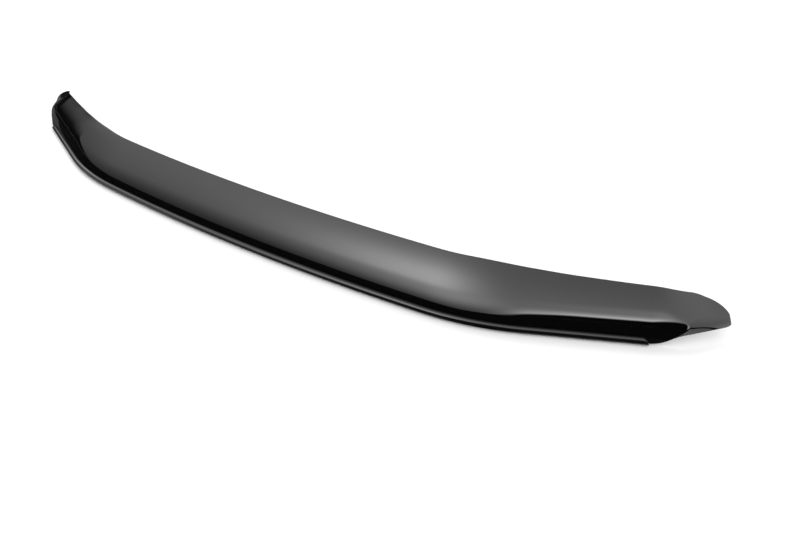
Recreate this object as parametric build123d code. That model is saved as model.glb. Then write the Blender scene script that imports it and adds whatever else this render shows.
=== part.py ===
from build123d import *
from math import cos, pi, radians, sin, sqrt, tan
import os

# Hood bug deflector: one sheet, formed as a leaning face over a steep wall, folded out to a
# rounded lip along the foot and back under as the flange that is screwed to the hood.
# Sizes in mm. X runs across the vehicle, Y to the rear, Z up. The origin is the middle of
# the first pair of screws, on the underside of the flange.

# Sheet, and how far its cut edges stand out in their middle
sheet = 3.0
crown = 0.5

# Plan of the lip's front edge, from the middle outwards: a flat curve, a bend, a straight
# wing and, past the end of the lip, the fin that turns round the corner of the hood. The
# fin's corner is tight in the wall and wide in the face, and it lies further out with height.
front_radius = 4000.0
front_length = 336.0
bend_radius = 460.0
wing_angle = 24.0
lip_half_length = 660.0
fin_angle = 41.5
fin_length = 121.5
corner_at_foot = 20.0
corner_at_wall_top = 53.5
corner_radius_wall = 40.0
corner_radius_face = 260.0

# Lip and flange
lip_height = 10.4
lip_reach = 6.8
lip_end_round = 10.0
flange_depth = 38.0
flange_corner = 26.0

# Section of the shield: wall, bend and face. The lean is counted from the upright. The bend
# is soft in the middle and becomes a tighter, higher crease in the wings.
wall_lean = 20.0
wall_lean_fin = 47.0
wall_top_middle = 20.5
wall_top_wing = 28.0
crease_radius_middle = 60.0
crease_radius_wing = 35.0
crease_from = 400.0
crease_to = 560.0
face_radius = 210.0
face_lean_middle = 46.0
face_lean_end = 57.0
face_width_middle = 51.6
face_width_end = 33.0
narrows_from = 390.0
narrows_to = 728.0

# Fin: its lower edge climbs to the rear, its upper edge comes down in a curve to the tip
fin_foot = 11.4
fin_foot_rear = 17.6
fin_foot_rise = 50.0
fin_tip = 22.0
fin_round = 56.0
fin_fullness = 0.41
tip_round = 12.0
tip_gap = 0.7

# Screws through the flange, in pairs about the middle
screw_hole = 6.5
screw_inset = 24.0
screw_pairs = [150.0, 400.0, 600.0]
slot_length = 14.0

# What follows from these sizes
front_turn = front_length / front_radius
bend_length = (radians(wing_angle) - front_turn) * bend_radius
fin_turn = radians(fin_angle - wing_angle)
half_length = lip_half_length + fin_length
foot_height = 2.4


def blend(a, b, position, start, end):
    """Goes smoothly from a to b while position goes from start to end."""
    t = min(max((position - start) / (end - start), 0.0), 1.0)
    return a + (b - a) * t * t * (3 - 2 * t)


def plan(distance, corner=corner_at_foot, corner_radius=corner_radius_wall):
    """Point and heading of the lip's front edge at a distance from the middle, with the
    middle of the fin's corner that far past the lip's end."""
    wing = lip_half_length + corner - corner_radius * fin_turn / 2 - front_length - bend_length
    x = y = heading = 0.0
    for length, radius in [
        (front_length, front_radius),
        (bend_length, bend_radius),
        (wing, None),
        (corner_radius * fin_turn, corner_radius),
        (half_length, None),
    ]:
        step = min(distance, length)
        if radius:
            turned = heading + step / radius
            x += radius * (sin(turned) - sin(heading))
            y += radius * (cos(heading) - cos(turned))
            heading = turned
        else:
            x += step * cos(heading)
            y += step * sin(heading)
        distance -= step
        if distance <= 0:
            break
    return x, y, heading


def beside(distance, back, **corner):
    """Point of the plan at a distance from the middle, set back from the lip's front edge."""
    x, y, heading = plan(distance, **corner)
    return x - back * sin(heading), y + back * cos(heading)


# The origin is on the line of the first pair of screws
origin_y = beside(screw_pairs[0], screw_inset)[1]


class Section:
    """Section of the shield's sheet at a distance from the middle. Places on it are counted
    up the sheet from the top of the wall."""

    def __init__(self, distance):
        self.distance = distance
        self.wall_lean = radians(blend(wall_lean, wall_lean_fin, distance, lip_half_length, half_length))
        self.wall_top = blend(wall_top_middle, wall_top_wing, distance, crease_from, crease_to)
        self.crease = blend(crease_radius_middle, crease_radius_wing, distance, crease_from, crease_to)
        face_lean = radians(blend(face_lean_middle, face_lean_end, distance, front_length, half_length))
        self.bend = self.crease * (face_lean - self.wall_lean)
        self.top = self.bend + blend(face_width_middle, face_width_end, distance, narrows_from, narrows_to)
        self.foot = self.up_the_wall(foot_height)
        run = distance - lip_half_length
        if run < 0:
            self.foot = blend(self.up_the_wall(lip_height - 0.4), self.foot, run, -22.0, -6.0)
        else:
            climb = fin_foot + (fin_foot_rear - fin_foot) * run / fin_length
            self.foot = blend(self.foot, self.up_the_wall(climb) + crown, run, 0.0, fin_foot_rise)
        tip = self.up_the_wall(fin_tip)
        to_end = half_length - distance
        if to_end < fin_round:
            self.top = tip + (self.top - tip) * sin(pi / 2 * to_end / fin_round) ** fin_fullness
        if to_end < tip_round:
            self.foot += (tip - self.foot) * (1 - sqrt(1 - (1 - to_end / tip_round) ** 2))

    def up_the_wall(self, height):
        return (height - self.wall_top) / cos(self.wall_lean)

    def place(self, along, depth):
        """Point at a distance up the sheet and at a depth under its front."""
        lean = self.wall_lean
        back = lip_reach + (self.wall_top - lip_height) * tan(lean)
        up = self.wall_top
        if along <= 0:
            back += along * sin(lean)
            up += along * cos(lean)
        else:
            for step, radius in (
                (min(along, self.bend), self.crease),
                (max(along - self.bend, 0.0), face_radius),
            ):
                turned = lean + step / radius
                back += radius * (cos(lean) - cos(turned))
                up += radius * (sin(turned) - sin(lean))
                lean = turned
        x, y = beside(
            self.distance,
            back + depth * cos(lean),
            corner=blend(corner_at_foot, corner_at_wall_top, along, self.up_the_wall(foot_height), 0.0),
            corner_radius=blend(corner_radius_wall, corner_radius_face, along, 0.0, self.bend),
        )
        return Vector(x, y - origin_y, up - depth * sin(lean))

    def outline(self, flat=False):
        """Closed outline of the sheet, pressed flat if it ends the shield."""
        fractions = [i / 8 for i in range(9)]
        front, rear = (
            [self.place(self.foot + (self.top - self.foot) * t, depth) for t in fractions]
            for depth in (0.0, sheet)
        )
        upper = self.place(self.top + crown, sheet / 2)
        lower = self.place(self.foot - crown, sheet / 2)
        if flat:
            along = Vector(cos(radians(fin_angle)), sin(radians(fin_angle)))
            front, rear, (upper, lower) = (
                [p - along * (p - front[4]).dot(along) for p in points]
                for points in (front, rear, (upper, lower))
            )
        return Wire([
            Edge.make_spline(front, parameters=fractions),
            Edge.make_spline([front[-1], upper, rear[-1]]),
            Edge.make_spline(rear[::-1], parameters=fractions),
            Edge.make_spline([rear[0], lower, front[0]]),
        ])


# Right half of the shield: a loft from the middle to the tip. The sections are closest at the
# tip, and each step away from it is a little longer, so that the loft stays smooth.
stations = [half_length - tip_gap]
step = 1.1
while stations[-1] > 0:
    near_fin = stations[-1] > lip_half_length - 40
    step = min(step * 1.3, 8.0 if near_fin else 30.0 if stations[-1] > front_length else 60.0)
    stations.append(stations[-1] - step)
stretch = stations[0] / (stations[0] - stations[-1])
stations = [stations[0] - (stations[0] - d) * stretch for d in stations]
shield = Solid.make_loft([Section(d).outline(flat=d == stations[0]) for d in reversed(stations)])

# Lip and flange: the foot of the sheet folded round, swept along the plan's right half
nose = lip_height / 2
fold = nose - sheet
end_x, end_y, end_heading = plan(lip_half_length)
end_x, end_y = end_x, end_y - origin_y
with BuildPart() as right_foot:
    with BuildLine(Plane.XY) as front_edge:
        front = CenterArc((0, front_radius - origin_y), front_radius, -90,
                          180 / pi * front_turn)
        bend = JernArc(front @ 1, front % 1, bend_radius, wing_angle - 180 / pi * front_turn)
        Line(bend @ 1, (end_x, end_y))
    with BuildSketch(Plane(origin=(0, -origin_y, 0), x_dir=(0, 1, 0), z_dir=(1, 0, 0))):
        with BuildLine():
            in_wall = lip_reach + 1.1
            Line((in_wall, lip_height), (nose, lip_height))
            ThreePointArc((nose, lip_height), (0, nose), (nose, 0))
            Line((nose, 0), (flange_depth - crown, 0))
            ThreePointArc((flange_depth - crown, 0), (flange_depth, sheet / 2),
                          (flange_depth - crown, sheet))
            Line((flange_depth - crown, sheet), (nose, sheet))
            ThreePointArc((nose, sheet), (nose - fold, nose), (nose, lip_height - sheet))
            Line((nose, lip_height - sheet), (in_wall, lip_height - sheet))
            Line((in_wall, lip_height - sheet), (in_wall, lip_height))
        make_face()
    sweep(path=front_edge.wire())

# Ends of the lip and flange, in a frame at the lip's end: X on along the lip, Y to the rear
end_plane = Plane(origin=(end_x, end_y, 0), x_dir=(cos(end_heading), sin(end_heading), 0),
                  z_dir=(0, 0, 1))
with BuildPart() as lip_plug:
    with BuildSketch(Plane(origin=end_plane.origin, x_dir=end_plane.y_dir,
                           z_dir=end_plane.x_dir)):
        with BuildLine():
            Line((in_wall, lip_height), (nose, lip_height))
            ThreePointArc((nose, lip_height), (0, nose), (nose, 0))
            Polyline((nose, 0), (in_wall, 0), (in_wall, lip_height))
        make_face()
    extrude(amount=-(lip_end_round + 4))
with BuildPart() as end_cuts:
    # over the lip's end, so that it curves down to the foot
    with BuildSketch(Plane(origin=end_plane.origin - 5 * end_plane.y_dir,
                           x_dir=end_plane.x_dir, z_dir=-end_plane.y_dir)):
        with BuildLine():
            EllipticalCenterArc((-lip_end_round, 0), lip_end_round, lip_height, 0, arc_size=90)
            Polyline((-lip_end_round, lip_height), (-lip_end_round, 2 * lip_height),
                     (20, 2 * lip_height), (20, 0), (0, 0))
        make_face()
    extrude(amount=-(lip_reach + 20))
    # round the flange's rear corner
    with BuildSketch(end_plane.offset(-1)):
        with BuildLine():
            a, b = (-flange_corner, flange_depth + 1), (0, flange_depth + 1 - flange_corner)
            RadiusArc(a, b, flange_corner)
            Polyline(b, (20, b[1]), (20, a[1] + 20), (a[0], a[1] + 20), a)
        make_face()
    extrude(amount=2 * lip_height)
# Screw holes: a round one in the middle pair, slots across the vehicle further out, which
# take up the fit
holes = []
for distance in screw_pairs:
    x, y = beside(distance, screw_inset)
    outline = (Circle(screw_hole / 2) if distance == screw_pairs[0]
               else SlotOverall(slot_length, screw_hole))
    holes.append(Pos(x, y - origin_y, -1) * extrude(outline, amount=sheet + 2))

right_half = right_foot.part + lip_plug.part - end_cuts.part - holes + shield
deflector_shield = right_half + right_half.mirror(Plane.YZ)

os.makedirs("parts", exist_ok=True)
export_step(deflector_shield, "parts/deflector_shield.step")
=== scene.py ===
from math import cos, pi, radians, sin

import bpy
from bpy.props import BoolProperty, FloatProperty, FloatVectorProperty, IntProperty, PointerProperty
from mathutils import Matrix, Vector


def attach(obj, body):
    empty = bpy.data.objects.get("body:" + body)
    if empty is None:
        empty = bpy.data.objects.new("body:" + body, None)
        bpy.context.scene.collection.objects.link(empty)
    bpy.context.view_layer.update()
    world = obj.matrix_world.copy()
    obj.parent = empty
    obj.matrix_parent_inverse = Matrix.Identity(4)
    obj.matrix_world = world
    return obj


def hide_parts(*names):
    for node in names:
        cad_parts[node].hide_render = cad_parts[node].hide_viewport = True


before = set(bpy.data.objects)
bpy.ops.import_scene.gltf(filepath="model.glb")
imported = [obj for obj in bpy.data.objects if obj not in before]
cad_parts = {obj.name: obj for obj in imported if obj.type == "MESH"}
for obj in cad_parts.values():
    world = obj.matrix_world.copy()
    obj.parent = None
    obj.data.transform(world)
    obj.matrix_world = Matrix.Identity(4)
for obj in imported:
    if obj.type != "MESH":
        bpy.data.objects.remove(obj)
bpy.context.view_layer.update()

bl_info = {
    "name": "Hood bug deflector",
    "version": (1, 0, 0),
    "blender": (4, 5, 0),
    "location": "3D View > Sidebar > Deflector",
    "description": "A gloss black hood shield with its lip, fins and screw flange",
    "category": "Add Mesh",
}


# Node sums

class Sum:
    """A number socket that can be used in Python sums; each sum adds Math nodes."""

    def __init__(self, tree, socket):
        self.tree, self.socket = tree, socket

    def _math(self, operation, *others):
        node = self.tree.node("ShaderNodeMath", {i + 1: other for i, other in enumerate(others)},
                              operation=operation)
        self.tree.feed(node.inputs[0], self)
        return Sum(self.tree, node.outputs[0])

    def __add__(self, other): return self._math("ADD", other)
    __radd__ = __add__

    def __sub__(self, other): return self._math("SUBTRACT", other)

    def __rsub__(self, other): return (self * -1.0) + other

    def __mul__(self, other): return self._math("MULTIPLY", other)
    __rmul__ = __mul__

    def __truediv__(self, other): return self._math("DIVIDE", other)

    def __abs__(self): return self._math("ABSOLUTE")

    def __pow__(self, other): return self._math("POWER", other)

    def exp(self): return self._math("EXPONENT")

    def least(self, other): return self._math("MINIMUM", other)

    def most(self, other): return self._math("MAXIMUM", other)

    def above(self, other): return self._math("GREATER_THAN", other)

    def sin(self): return self._math("SINE")

    def cos(self): return self._math("COSINE")

    def sqrt(self): return self._math("SQRT")

    def sign(self): return self._math("SIGN")


class Tree:
    """Adds nodes to a node tree and feeds their sockets."""

    def __init__(self, nodes):
        self.nodes = nodes

    def node(self, kind, inputs=None, **settings):
        """One node of a kind, with its settings first and then its inputs."""
        node = self.nodes.nodes.new(kind)
        for name, value in settings.items():
            setattr(node, name, value)
        for key, value in (inputs or {}).items():
            self.feed(node.inputs[key], value)
        return node

    def feed(self, socket, value):
        """Links a socket to a Sum or another socket, or sets it to a plain value."""
        if isinstance(value, Sum):
            value = value.socket
        if isinstance(value, bpy.types.NodeSocket):
            self.nodes.links.new(value, socket)
        else:
            socket.default_value = value


def nsin(value):
    return value.sin() if isinstance(value, Sum) else sin(value)


def ncos(value):
    return value.cos() if isinstance(value, Sum) else cos(value)


# Sizes and colours

def length(name, description, default, **more):
    return FloatProperty(name=name, description=description, default=default, min=0.0,
                         unit="LENGTH", subtype="DISTANCE", precision=5, **more)


def turn(name, description, default):
    return FloatProperty(name=name, description=description, default=radians(default),
                         unit="ROTATION", subtype="ANGLE")


class ShieldSizes(bpy.types.PropertyGroup):
    """Sizes of the sheet, of its plan, of its section and of its ends"""
    sheet: length("Sheet", "Thickness of the sheet", 0.003)
    crown: length("Edge crown", "How far the cut edges stand out in their middle", 0.0005)
    front_radius: length("Front radius", "Radius of the flat curve in the middle", 4.0)
    front_length: length("Front length", "Length of the flat curve, from the middle", 0.336)
    bend_radius: length("Bend radius", "Radius of the bend between front and wing", 0.460)
    wing_angle: turn("Wing angle", "Heading of the straight wing", 24.0)
    lip_half_length: length("Lip half length", "Length of the lip, from the middle", 0.660)
    fin_angle: turn("Fin angle", "Heading of the fin", 41.5)
    fin_length: length("Fin length", "From the lip's end to the tip", 0.1215)
    corner_at_foot: length("Corner at foot", "From the lip's end to the fin's corner, at the foot", 0.020)
    corner_at_wall_top: length("Corner at wall top", "The same at the top of the wall", 0.0535)
    corner_radius_wall: length("Corner radius, wall", "Radius of the fin's corner in the wall", 0.040)
    corner_radius_face: length("Corner radius, face", "Radius of the fin's corner in the face", 0.260)
    lip_height: length("Lip height", "Height of the rounded lip", 0.0104)
    lip_reach: length("Lip reach", "From the lip's front to the foot of the wall", 0.0068)
    lip_end_round: length("Lip end round", "Length over which the lip's end comes down", 0.010)
    flange_depth: length("Flange depth", "From the lip's front to the flange's rear edge", 0.038)
    flange_corner: length("Flange corner", "Radius of the flange's rear corners", 0.026)
    wall_lean: turn("Wall lean", "Lean of the steep wall", 20.0)
    wall_lean_fin: turn("Wall lean, fin", "Lean that the wall comes to in the fin", 47.0)
    foot_height: length("Foot height", "Height of the sheet's lower edge behind the lip's end", 0.0024)
    wall_top_middle: length("Wall top, middle", "Height where the wall starts to bend", 0.0205)
    wall_top_wing: length("Wall top, wing", "The same in the wings", 0.028)
    crease_radius_middle: length("Crease, middle", "Radius between wall and face", 0.060)
    crease_radius_wing: length("Crease, wing", "The same in the wings", 0.035)
    crease_from: length("Crease from", "Distance at which the crease starts to tighten", 0.400)
    crease_to: length("Crease to", "Distance at which the crease is tightest", 0.560)
    face_radius: length("Face radius", "Radius of the face's crown", 0.210)
    face_lean_middle: turn("Face lean, middle", "Lean of the face's foot in the middle", 46.0)
    face_lean_end: turn("Face lean, end", "Lean of the face's foot at the tips", 57.0)
    face_width_middle: length("Face width, middle", "Width of the face in the middle", 0.0516)
    face_width_end: length("Face width, end", "Width of the face towards the tips", 0.033)
    narrows_from: length("Narrows from", "Distance at which the face starts to narrow", 0.390)
    narrows_to: length("Narrows to", "Distance at which the face is narrowest", 0.728)
    fin_foot: length("Fin foot", "Height of the fin's lower edge at its front", 0.0114)
    fin_foot_rear: length("Fin foot, rear", "Height of the fin's lower edge at the tip", 0.0176)
    fin_foot_rise: length("Fin foot rise", "Length over which the lower edge leaves the lip", 0.050)
    fin_tip: length("Fin tip", "Height of the tip", 0.022)
    fin_round: length("Fin round", "Length over which the upper edge comes down", 0.056)
    fin_fullness: FloatProperty(name="Fin fullness", description="How square the upper edge comes down",
                                default=0.41, min=0.1, max=1.0, subtype="FACTOR")
    tip_round: length("Tip round", "Length over which the lower edge comes up", 0.012)
    tip_gap: length("Tip gap", "How far short of its rounded tip the sheet ends", 0.0012)
    screw_hole: length("Screw hole", "Width of the screw holes", 0.0065)
    screw_inset: length("Screw inset", "From the lip's front to the screws", 0.024)
    slot_length: length("Slot length", "Length of the slots of the outer screws", 0.014)
    screw_middle: length("Middle screws", "Distance of the middle screws along the lip", 0.150)
    screw_second: length("Second screws", "Distance of the second screws along the lip", 0.400)
    screw_outer: length("Outer screws", "Distance of the outer screws along the lip", 0.600)
    columns: IntProperty(name="Columns", description="Steps along the shield", default=520, min=60)
    rows: IntProperty(name="Rows", description="Steps round the section", default=128, min=32)


class ShieldFinish(bpy.types.PropertyGroup):
    """Finish of the polished black acrylic"""
    colour: FloatVectorProperty(name="Colour", description="Colour of the acrylic", subtype="COLOR",
                                default=(0.002, 0.002, 0.0022), min=0.0, max=1.0)
    roughness: FloatProperty(name="Roughness", description="Roughness of the polish",
                             default=0.025, min=0.0, max=1.0, subtype="FACTOR")
    lip_roughness: FloatProperty(name="Lip roughness", description="Roughness of the lip and flange",
                                 default=0.3, min=0.0, max=1.0, subtype="FACTOR")
    ripple: FloatProperty(name="Ripple", description="Height of the forming ripple",
                          default=0.00002, min=0.0, unit="LENGTH", subtype="DISTANCE", precision=6)


class StageSettings(bpy.types.PropertyGroup):
    """Camera, lights and floor of the studio"""
    lens: FloatProperty(name="Lens", description="Focal length of the camera", default=31.5,
                        min=1.0, unit="CAMERA")
    world: FloatProperty(name="Even light", description="Brightness all round", default=1.0, min=0.0)
    lamp: FloatProperty(name="Lamp", description="Power of the soft lamp behind", default=60.0,
                        min=0.0, unit="POWER")
    floor_colour: FloatVectorProperty(name="Floor", description="Colour of the floor", subtype="COLOR",
                                      default=(1.0, 1.0, 1.0), min=0.0, max=1.0)
    soft_boxes: BoolProperty(name="Soft boxes", default=True, description="Polished surfaces see "
                             "soft boxes and dark cards, not the white room")


# Shape of the shield, as sums that a node tree works out

def blend(a, b, position, start, end):
    """Goes smoothly from a to b while position goes from start to end."""
    t = ((position - start) / (end - start)).most(0.0).least(1.0)
    return (b - a) * (t * t * (t * -2.0 + 3.0)) + a


PLAN_SIZES = ("front_radius", "front_length", "bend_radius", "wing_angle", "fin_angle",
              "lip_half_length")


def plan_group():
    """Node group of the lip's front edge: its point (x, y) and heading at a distance from the
    middle, with the middle of the fin's corner that far past the lip's end."""
    nodes = bpy.data.node_groups.new("Plan", "GeometryNodeTree")
    tree, s = Tree(nodes), Sizes()
    keys = PLAN_SIZES + ("distance", "corner", "radius")
    for key in keys:
        nodes.interface.new_socket(key, in_out="INPUT", socket_type="NodeSocketFloat")
    for key in ("x", "y", "heading"):
        nodes.interface.new_socket(key, in_out="OUTPUT", socket_type="NodeSocketFloat")
    group = nodes.nodes.new("NodeGroupInput")
    for key, socket in zip(keys, group.outputs):
        setattr(s, key, Sum(tree, socket))
    turned = s.front_length / s.front_radius
    bend_length = (s.wing_angle - turned) * s.bend_radius
    fin_turn = s.fin_angle - s.wing_angle
    wing_length = (s.lip_half_length + s.corner - s.radius * fin_turn * 0.5 - s.front_length
                   - bend_length)
    heading, x, y, rest = 0.0, 0.0, 0.0, s.distance
    for part, curve in ((s.front_length, s.front_radius), (bend_length, s.bend_radius),
                        (wing_length, None), (s.radius * fin_turn, s.radius), (None, None)):
        step = rest.most(0.0) if part is None else rest.least(part).most(0.0)
        if curve is not None:
            after = step / curve + heading
            x = (nsin(after) - nsin(heading)) * curve + x
            y = (ncos(heading) - ncos(after)) * curve + y
            heading = after
        else:
            x = step * ncos(heading) + x
            y = step * nsin(heading) + y
        if part is not None:
            rest = rest - part
    tree.node("NodeGroupOutput", {0: x, 1: y, 2: heading})
    return nodes


def beside(s, distance, back, corner=None, radius=None):
    """Point of the plan at a distance from the middle, set back from the lip's front edge."""
    tree = s.sheet.tree
    inputs = [getattr(s, key) for key in PLAN_SIZES]
    inputs += [distance, corner or s.corner_at_foot, radius or s.corner_radius_wall]
    group = bpy.data.node_groups.get("Plan") or plan_group()
    plan = tree.node("GeometryNodeGroup", dict(enumerate(inputs)), node_tree=group)
    x, y, heading = (Sum(tree, socket) for socket in plan.outputs)
    return x - heading.sin() * back, heading.cos() * back + y


def origin_y(s):
    """The frame's origin lies on the line of the middle screws."""
    return beside(s, s.screw_middle, s.screw_inset)[1]


class Sizes:
    """The named inputs of a node tree, as sums."""


def shape_tree(name, settings):
    """New geometry node tree with one named input for each size of the shield."""
    nodes = bpy.data.node_groups.new(name, "GeometryNodeTree")
    nodes.interface.new_socket("Geometry", in_out="OUTPUT", socket_type="NodeSocketGeometry")
    tree = Tree(nodes)
    keys = list(settings.__annotations__)
    for key in keys:
        rna = settings.bl_rna.properties[key]
        kind = "NodeSocketInt" if rna.type == "INT" else "NodeSocketFloat"
        socket = nodes.interface.new_socket(rna.name, in_out="INPUT", socket_type=kind)
        if kind == "NodeSocketFloat":
            socket.subtype = rna.subtype
        socket.default_value = getattr(settings, key)
        socket.description = rna.description
    group = nodes.nodes.new("NodeGroupInput")
    sizes = Sizes()
    for key, socket in zip(keys, group.outputs):
        setattr(sizes, key, Sum(tree, socket))
    return tree, sizes, keys


# Edges that turn by more than this are drawn sharp
SHARP_EDGE = radians(38)


def made_object(name, tree, keys, settings, material):
    """Runs a geometry node tree on an empty mesh and returns the result as a plain object."""
    holder = bpy.data.objects.new(name + "_nodes", bpy.data.meshes.new(name + "_nodes"))
    bpy.context.scene.collection.objects.link(holder)
    modifier = holder.modifiers.new("Shape", "NODES")
    modifier.node_group = tree.nodes
    sockets = [item for item in tree.nodes.interface.items_tree if item.in_out == "INPUT"]
    for socket, key in zip(sockets, keys):
        modifier[socket.identifier] = getattr(settings, key)
    depsgraph = bpy.context.evaluated_depsgraph_get()
    mesh = bpy.data.meshes.new_from_object(holder.evaluated_get(depsgraph), depsgraph=depsgraph)
    mesh.name = name
    bpy.data.objects.remove(holder)
    if len(mesh.polygons) == 0:
        raise RuntimeError(name + " came out empty")
    mesh.set_sharp_from_angle(angle=SHARP_EDGE)
    obj = bpy.data.objects.new(name, mesh)
    bpy.context.scene.collection.objects.link(obj)
    if not mesh.materials:
        mesh.materials.append(material)
    return obj


# How strongly the columns crowd towards the ends, where the shape turns most
CROWDING = 1.6
# Past this share of the half length, a column is an end that is closed up
END_COLUMN = 0.9999
# How far the folded lip's top reaches into the wall, and the wall's foot into the lip
LAP_IN_WALL = 0.0011
LAP_IN_LIP = 0.0004


def columns_and_rows(tree, columns, rows):
    """A grid, and for its points: how far out from -1 to 1, and how far round from 0 to 1."""
    grid = tree.node("GeometryNodeMeshGrid", {"Size X": 2.0, "Size Y": 1.0,
                                              "Vertices X": columns, "Vertices Y": rows})
    place = tree.node("ShaderNodeSeparateXYZ", {0: tree.node("GeometryNodeInputPosition").outputs[0]})
    out = Sum(tree, place.outputs[0])
    return grid.outputs["Mesh"], out, Sum(tree, place.outputs[1]) + 0.5


def closed_up(tree, mesh, x, y, z, merge=0.00001):
    """Sets the grid's points and joins its seam and ends."""
    place = tree.node("ShaderNodeCombineXYZ", {0: x, 1: y, 2: z})
    moved = tree.node("GeometryNodeSetPosition", {"Geometry": mesh, "Position": place.outputs[0]})
    joined = tree.node("GeometryNodeMergeByDistance", {"Geometry": moved.outputs[0], "Distance": merge})
    return joined.outputs[0]


def shield_face(tree, s):
    """The shield's own sheet: wall, bend and leaning face, from fin tip to fin tip."""
    mesh, out, around = columns_and_rows(tree, s.columns, s.rows)
    half_length = s.lip_half_length + s.fin_length
    edge = s.sheet * 0.5
    to_end = (half_length - s.tip_gap) * (1.0 - abs(out)).most(0.0) ** CROWDING + s.tip_gap
    distance = half_length - to_end

    # the section's measures at this distance
    lean_wall = blend(s.wall_lean, s.wall_lean_fin, distance, s.lip_half_length, half_length)
    face_lean = blend(s.face_lean_middle, s.face_lean_end, distance, s.front_length, half_length)
    width = blend(s.face_width_middle, s.face_width_end, distance, s.narrows_from, s.narrows_to)
    wall_top = blend(s.wall_top_middle, s.wall_top_wing, distance, s.crease_from, s.crease_to)
    crease = blend(s.crease_radius_middle, s.crease_radius_wing, distance, s.crease_from, s.crease_to)
    bend = crease * (face_lean - lean_wall)
    slope = lean_wall.cos()
    run = distance - s.lip_half_length
    low = (s.foot_height - wall_top) / slope
    foot_in_lip = blend((s.lip_height - LAP_IN_LIP - wall_top) / slope, low, run, -0.022, -0.006)
    climb = s.fin_foot + (s.fin_foot_rear - s.fin_foot) * run / s.fin_length
    foot_of_fin = blend(low, (climb - wall_top) / slope + s.crown, run, 0.0, s.fin_foot_rise)
    foot = foot_in_lip + (foot_of_fin - foot_in_lip) * run.above(0.0)
    tip = (s.fin_tip - wall_top) / slope
    near = (to_end / s.fin_round).least(1.0)
    top = tip + (bend + width - tip) * (near * (pi / 2)).sin().most(0.0) ** s.fin_fullness
    short = 1.0 - (to_end / s.tip_round).least(1.0)
    foot = foot + (tip - foot) * (1.0 - (1.0 - short * short).most(0.0).sqrt())

    # once round the outline: front, upper edge, rear, lower edge
    legs = (0.46, 0.04, 0.46, 0.04)
    up = (around / legs[0]).least(1.0)
    over = ((around - legs[0]) / legs[1]).most(0.0).least(1.0) * pi
    down = ((around - legs[0] - legs[1]) / legs[2]).most(0.0).least(1.0)
    under = ((around - legs[0] - legs[1] - legs[2]) / legs[3]).most(0.0).least(1.0) * pi
    closing = 1.0 - abs(out).above(END_COLUMN)
    along = foot + (top - foot) * (up - down) + s.crown * (over.sin() - under.sin()) * closing
    depth = edge * (1.0 + (under.cos() - over.cos() - 1.0) * closing)

    # from the unrolled sheet to the leaning section
    in_bend = along.most(0.0).least(bend)
    in_face = (along - bend).most(0.0)
    in_wall = along.least(0.0)
    lean_1 = lean_wall + in_bend / crease
    lean_2 = lean_1 + in_face / s.face_radius
    sin_w, cos_w = lean_wall.sin(), lean_wall.cos()
    sin_1, cos_1, sin_2, cos_2 = lean_1.sin(), lean_1.cos(), lean_2.sin(), lean_2.cos()
    wall_back = s.lip_reach + (wall_top - s.lip_height) * sin_w / cos_w
    back = (wall_back + in_wall * sin_w + crease * (cos_w - cos_1)
            + s.face_radius * (cos_1 - cos_2) + depth * cos_2)
    height = (wall_top + in_wall * cos_w + crease * (sin_1 - sin_w)
              + s.face_radius * (sin_2 - sin_1) - depth * sin_2)
    corner = blend(s.corner_at_foot, s.corner_at_wall_top, along, low, 0.0)
    radius = blend(s.corner_radius_wall, s.corner_radius_face, along, 0.0, bend)
    x, y = beside(s, distance, back, corner, radius)
    return closed_up(tree, mesh, x * out.sign(), y - origin_y(s), height)


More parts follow.
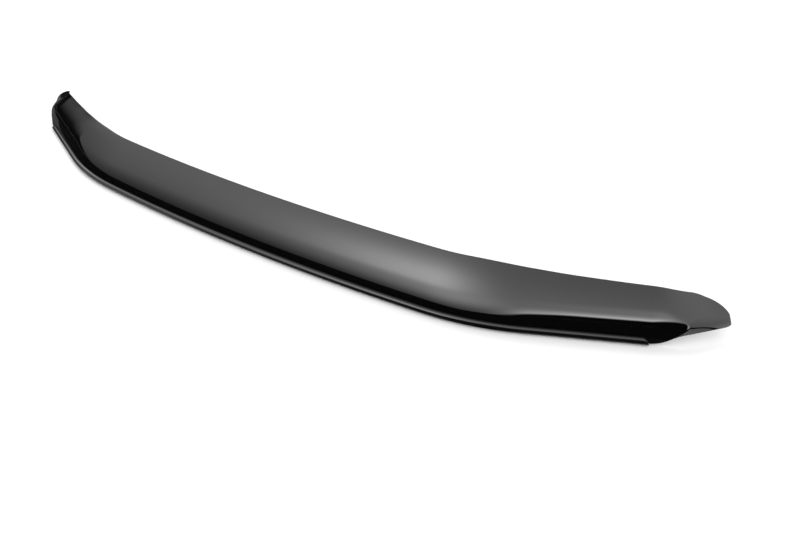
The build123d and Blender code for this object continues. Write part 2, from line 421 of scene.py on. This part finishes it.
def foot(tree, s):
    """The rounded lip and the flange folded back under it, with the screw holes."""
    mesh, out, around = columns_and_rows(tree, s.columns * 0.5, s.rows * 0.75)
    to_end = s.lip_half_length * (1.0 - abs(out)).most(0.0) ** CROWDING
    distance = s.lip_half_length - to_end
    edge = s.sheet * 0.5
    nose = s.lip_height * 0.5
    in_wall = s.lip_reach + LAP_IN_WALL
    # the fold is filled where the lip's end comes down
    fold = (nose - s.sheet) * blend(0.0, 1.0, to_end, s.lip_end_round + 0.003, s.lip_end_round + 0.005)
    short = 1.0 - (to_end / s.flange_corner).least(1.0)
    cut = s.flange_corner * (1.0 - (1.0 - short * short).most(0.0).sqrt()) - 0.001
    reach = s.flange_depth - cut.most(0.0) - s.crown - nose

    # once round the outline: lip, nose, underside, rear edge, flange, fold, lip's inside
    legs = iter((0.04, 0.30, 0.20, 0.06, 0.20, 0.12, 0.04, 0.04))
    begun = 0.0

    def leg():
        nonlocal begun
        part = next(legs)
        t = ((around - begun) / part).most(0.0).least(1.0)
        begun += part
        return t

    t1, a2, t3, a4, t5, a6, t7, t8 = (leg() * factor for factor in (1, pi, 1, pi, 1, pi, 1, 1))
    back = (in_wall - (in_wall - nose) * t1 - nose * a2.sin() + reach * (t3 - t5) + s.crown * a4.sin()
            - fold * a6.sin() + (in_wall - nose) * t7)
    height = (s.lip_height - nose * (1.0 - a2.cos()) + edge * (1.0 - a4.cos())
              + fold * (1.0 - a6.cos()) + (s.lip_height - s.sheet - fold * 2.0) * t8)
    short = 1.0 - (to_end / s.lip_end_round).least(1.0)
    height = height.least(s.lip_height * (1.0 - short * short).most(0.0).sqrt())
    ending = abs(out).above(END_COLUMN)
    back = back + (nose - back) * ending
    x, y = beside(s, distance, back)
    body = closed_up(tree, mesh, x * out.sign(), y - origin_y(s), height)

    cutters = []
    for place, slot in ((s.screw_middle, 0.0), (s.screw_second, 1.0), (s.screw_outer, 1.0)):
        hole = tree.node("GeometryNodeMeshCylinder", {"Vertices": 40, "Radius": s.screw_hole * 0.5,
                                                      "Depth": s.sheet * 4.0})
        where = tree.node("ShaderNodeSeparateXYZ",
                          {0: tree.node("GeometryNodeInputPosition").outputs[0]})
        side = Sum(tree, where.outputs[0])
        side = (side * 100000.0).most(-1.0).least(1.0) * (s.slot_length - s.screw_hole) * (0.5 * slot)
        offset = tree.node("ShaderNodeCombineXYZ", {0: side})
        hole = tree.node("GeometryNodeSetPosition", {"Geometry": hole.outputs["Mesh"],
                                                     "Offset": offset.outputs[0]})
        x, y = beside(s, place, s.screw_inset)
        for sign in (1.0, -1.0):
            spot = tree.node("ShaderNodeCombineXYZ", {0: x * sign, 1: y - origin_y(s), 2: edge})
            cutters.append(tree.node("GeometryNodeTransform", {
                "Geometry": hole.outputs[0], "Translation": spot.outputs[0]}).outputs[0])
    drilled = tree.node("GeometryNodeMeshBoolean", {"Mesh 1": body}, operation="DIFFERENCE",
                        solver="EXACT")
    for cutter in cutters:
        tree.nodes.links.new(cutter, drilled.inputs["Mesh 2"])
    return drilled.outputs[0]


def deflector_tree(settings, material):
    """The whole shield as one node tree."""
    tree, s, keys = shape_tree("Deflector shape", settings)
    shapes = [shield_face(tree, s), foot(tree, s)]
    joined = tree.node("GeometryNodeJoinGeometry")
    for shape in shapes:
        tree.nodes.links.new(shape, joined.inputs[0])
    smooth = tree.node("GeometryNodeSetShadeSmooth", {"Geometry": joined.outputs[0]})
    real = tree.node("GeometryNodeRealizeInstances", {"Geometry": smooth.outputs[0]})
    finished = tree.node("GeometryNodeSetMaterial", {"Geometry": real.outputs[0], "Material": material})
    tree.node("NodeGroupOutput", {0: finished.outputs[0]})
    return tree, keys


# Materials

def new_material(name):
    material = bpy.data.materials.new(name)
    material.use_nodes = True
    material.node_tree.nodes.clear()
    return material, Tree(material.node_tree)


def acrylic(finish):
    """Polished black acrylic with a faint forming ripple along the sheet."""
    material, tree = new_material("polished_black_acrylic")
    place = tree.node("ShaderNodeTexCoord").outputs["Object"]
    stretched = tree.node("ShaderNodeMapping", {"Vector": place, "Scale": (9.0, 1.2, 1.2)})
    wave = tree.node("ShaderNodeTexNoise", {"Vector": stretched.outputs[0], "Scale": 2.0,
                                            "Detail": 1.0, "Roughness": 0.4})
    haze = Sum(tree, tree.node("ShaderNodeTexNoise", {"Vector": place, "Scale": 14.0,
                                                      "Detail": 3.0}).outputs["Fac"])
    ripple = tree.node("ShaderNodeBump", {"Height": wave.outputs["Fac"], "Strength": 1.0,
                                          "Distance": finish.ripple})
    height = Sum(tree, tree.node("ShaderNodeSeparateXYZ", {0: place}).outputs[2])
    satin = blend(finish.lip_roughness, finish.roughness, height, 0.0095, 0.0108)
    shader = tree.node("ShaderNodeBsdfPrincipled", {
        "Base Color": tuple(finish.colour) + (1.0,),
        "Roughness": satin + haze * 0.01,
        "IOR": 1.49,
        "Normal": ripple.outputs[0],
    })
    tree.node("ShaderNodeOutputMaterial", {0: shader.outputs[0]})
    return material


def glowing_material(name, strength):
    """A white material that gives light."""
    material, tree = new_material(name)
    glow = tree.node("ShaderNodeEmission", {"Color": (1.0, 1.0, 1.0, 1.0), "Strength": strength})
    tree.node("ShaderNodeOutputMaterial", {0: glow.outputs[0]})
    return material


def plain_material(name, colour):
    """A matt material of one colour."""
    material, tree = new_material(name)
    shader = tree.node("ShaderNodeBsdfDiffuse", {"Color": tuple(colour) + (1.0,)})
    tree.node("ShaderNodeOutputMaterial", {0: shader.outputs[0]})
    return material


# Studio: what polished surfaces see in each direction. Azimuths are counted from the front
# towards +X, elevations from the floor.

SOFT_BOXES = [  # azimuth, elevation, tightness, brightness
    (-24.4, 53.1, 36.9, 5.4),
    (47.8, 5.2, 19.0, 21.2),
    (-3.2, 29.7, 13.4, 3.9),
    (53.9, 45.1, 16.3, 2.4),
    (-52.8, 58.9, 4.9, 2.5),
    (114.8, 34.9, 3.3, 2.2),
    (-113.0, 34.0, 36.9, 2.2),
    (180.0, 20.0, 8.0, 0.8),
]
DARKEST = 0.07

# Dark cards at the sides lie below a line through two directions. The right one also ends at an
# azimuth. Each has the start and end of its soft edge, and the left one what is left of the light.
RIGHT_CARD, RIGHT_END = ((25.3, 3.4), (58.1, 25.2)), 66.0
RIGHT_EDGE, RIGHT_END_EDGE = (-0.02, 0.10), (-0.05, 0.05)
LEFT_CARD, LEFT_EDGE, LEFT_REST = ((-88.4, 10.2), (-100.7, 16.9)), (-0.022, 0.003), 0.03


def towards(azimuth, elevation):
    """Direction of an azimuth and elevation in degrees."""
    a, e = radians(azimuth), radians(elevation)
    return Vector((cos(e) * sin(a), -cos(e) * cos(a), sin(e)))


def above_line(one, other):
    """Upward normal of the plane through the eye and two directions."""
    normal = towards(*one).cross(towards(*other)).normalized()
    return normal if normal.z > 0 else -normal


def studio_world(level, soft_boxes):
    """Even white light all round. With soft boxes, polished surfaces see those instead, and a
    dark card at each side."""
    world = bpy.data.worlds.new("studio")
    world.use_nodes = True
    world.node_tree.nodes.clear()
    tree = Tree(world.node_tree)
    direction = tree.node("ShaderNodeTexCoord").outputs["Generated"]

    def along(axis):
        dot = tree.node("ShaderNodeVectorMath", {0: direction, 1: axis}, operation="DOT_PRODUCT")
        return Sum(tree, dot.outputs["Value"])

    glow = DARKEST
    for azimuth, elevation, tightness, brightness in SOFT_BOXES:
        box = ((along(towards(azimuth, elevation)) - 1.0) * tightness).exp() * brightness
        glow = box + glow
    right = blend(0.0, 1.0, along(above_line(*RIGHT_CARD)), *RIGHT_EDGE)
    right = right.most(blend(0.0, 1.0, along(towards(RIGHT_END + 90.0, 0.0)), *RIGHT_END_EDGE))
    left = blend(LEFT_REST, 1.0, along(above_line(*LEFT_CARD)), *LEFT_EDGE)
    clear = right * left
    glossy = Sum(tree, tree.node("ShaderNodeLightPath").outputs["Is Glossy Ray"]) * float(soft_boxes)
    strength = glossy * (glow * clear - level) + level
    light = tree.node("ShaderNodeBackground", {"Color": (1.0, 1.0, 1.0, 1.0), "Strength": strength})
    tree.node("ShaderNodeOutputWorld", {0: light.outputs[0]})
    return world


# Half the floor's side, and the cards' heights over it
FLOOR = 30.0
LOWER_CARD, UPPER_CARD = 0.0005, 0.0008

# Outlines of the cards on the floor. The dark one lies in front of the lip, from right to left.
FAR_CORNERS = [(-8.0, -8.0), (8.0, -8.0)]
LIP_SIDE = [(8.0, 0.118), (0.692, 0.116), (0.634, 0.090), (0.579, 0.065), (0.480, 0.021),
            (0.371, -0.011), (0.307, -0.018), (0.130, -0.028), (-0.083, -0.032),
            (-0.265, -0.045), (-0.360, -0.050), (-0.430, -0.030), (-0.480, 0.008),
            (-0.580, 0.062), (-0.636, 0.088), (-0.735, 0.150), (-0.740, 0.220), (-8.0, 6.0)]
LEFT_END = [(-0.560, 0.055), (-0.636, 0.095), (-0.720, 0.140), (-0.800, 0.220), (-1.0, 0.300),
            (-1.0, 0.150), (-0.800, 0.118), (-0.700, 0.100), (-0.655, 0.088), (-0.600, 0.066)]
RIGHT_FIN = [(0.695, 0.119), (1.2, 0.119), (1.2, 0.4), (0.66, 0.4)]

# A low dark ledge stands this far before the dark card's edge, from its second corner on
LEDGE_GAP = 0.010
LEDGE_HEIGHTS = (0.025, 0.025, 0.025, 0.024, 0.019, 0.017, 0.010, 0.001)


# Operators

class DEFLECTOR_OT_shield(bpy.types.Operator):
    """Make the shield with its lip, fins and flange in polished black acrylic"""
    bl_idname = "deflector.shield"
    bl_label = "Shield"

    def execute(self, context):
        scene = context.scene
        material = acrylic(scene.deflector_finish)
        tree, keys = deflector_tree(scene.deflector_sizes, material)
        shield = made_object("shield_sheet", tree, keys, scene.deflector_sizes, material)
        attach(shield, "root")
        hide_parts("deflector_shield")
        return {"FINISHED"}


def stage_piece(name, corners, material, faces=None):
    """A piece of the stage: one flat face, or several."""
    mesh = bpy.data.meshes.new(name)
    mesh.from_pydata(corners, [], faces or [range(len(corners))])
    mesh.materials.append(material)
    obj = bpy.data.objects.new(name, mesh)
    bpy.context.scene.collection.objects.link(obj)
    return obj


class DEFLECTOR_OT_stage(bpy.types.Operator):
    """Make the floor, the cards, the light and the camera of the studio"""
    bl_idname = "deflector.stage"
    bl_label = "Stage"

    def execute(self, context):
        scene = context.scene
        settings = scene.deflector_stage
        stage_piece("floor", [(x * FLOOR, y * FLOOR, 0) for x, y in ((-1, -1), (1, -1), (1, 1), (-1, 1))],
                    plain_material("pale_floor", settings.floor_colour))
        # cards that only polished surfaces see
        black = plain_material("black_card", (0.01, 0.01, 0.01))
        cards = [
            stage_piece("dark_card", [(x, y, LOWER_CARD) for x, y in FAR_CORNERS + LIP_SIDE], black),
            stage_piece("grey_card", [(x, y, UPPER_CARD) for x, y in LEFT_END],
                        plain_material("grey_card", (0.12, 0.12, 0.12))),
            # a white card that glows and that only polished surfaces see: it lights the reflection in the
            # fin's lower edge, where the floor under the fin lies in shade
            stage_piece("glowing_card", [(x, y, UPPER_CARD) for x, y in RIGHT_FIN],
                        glowing_material("glowing_card", 1.4)),
        ]
        ledge = [(x, y - LEDGE_GAP, height) for (x, y), height in zip(LIP_SIDE[1:], LEDGE_HEIGHTS)]
        count = len(ledge)
        cards.append(stage_piece("dark_ledge", [(x, y, 0.0) for x, y, _ in ledge] + ledge, black,
                                 [(i, i + 1, i + count + 1, i + count) for i in range(count - 1)]))
        for card in cards:
            card.visible_camera = card.visible_diffuse = card.visible_shadow = False
            card.visible_glossy = settings.soft_boxes
        scene.world = studio_world(settings.world, settings.soft_boxes)

        light = bpy.data.lights.new("soft_lamp", "AREA")
        light.shape, light.size = "DISK", 1.6
        light.energy = settings.lamp
        lamp = bpy.data.objects.new("soft_lamp", light)
        lamp.location = (-2.0, 2.4, 3.4)
        lamp.rotation_euler = (-lamp.location).to_track_quat("-Z", "Y").to_euler()
        lamp.visible_glossy = False
        scene.collection.objects.link(lamp)

        camera = bpy.data.cameras.new("camera")
        camera.sensor_width, camera.lens = 36.0, settings.lens
        camera.clip_start, camera.clip_end = 0.01, 100.0
        viewer = bpy.data.objects.new("camera", camera)
        viewer.location = (0.72448, -0.68163, 0.65661)
        viewer.rotation_euler = Vector((-0.4264, 0.6815, -0.5947)).to_track_quat("-Z", "Y").to_euler()
        scene.collection.objects.link(viewer)
        scene.camera = viewer
        scene.view_settings.view_transform = "Standard"
        return {"FINISHED"}


class DEFLECTOR_PT_panel(bpy.types.Panel):
    """Sizes, finish and stage of the deflector"""
    bl_idname = "DEFLECTOR_PT_panel"
    bl_label = "Hood bug deflector"
    bl_space_type = "VIEW_3D"
    bl_region_type = "UI"
    bl_category = "Deflector"

    def draw(self, context):
        layout = self.layout
        scene = context.scene
        for settings, operator in ((scene.deflector_sizes, "deflector.shield"),
                                   (scene.deflector_finish, None),
                                   (scene.deflector_stage, "deflector.stage")):
            column = layout.column(align=True)
            for key in settings.__annotations__:
                column.prop(settings, key)
            if operator:
                layout.operator(operator)


CLASSES = (ShieldSizes, ShieldFinish, StageSettings, DEFLECTOR_OT_shield, DEFLECTOR_OT_stage,
           DEFLECTOR_PT_panel)


def register():
    for cls in CLASSES:
        bpy.utils.register_class(cls)
    bpy.types.Scene.deflector_sizes = PointerProperty(type=ShieldSizes)
    bpy.types.Scene.deflector_finish = PointerProperty(type=ShieldFinish)
    bpy.types.Scene.deflector_stage = PointerProperty(type=StageSettings)


def unregister():
    del bpy.types.Scene.deflector_sizes
    del bpy.types.Scene.deflector_finish
    del bpy.types.Scene.deflector_stage
    for cls in reversed(CLASSES):
        bpy.utils.unregister_class(cls)


def main():
    register()
    bpy.ops.deflector.shield()
    bpy.ops.deflector.stage()


if __name__ == "__main__":
    main()
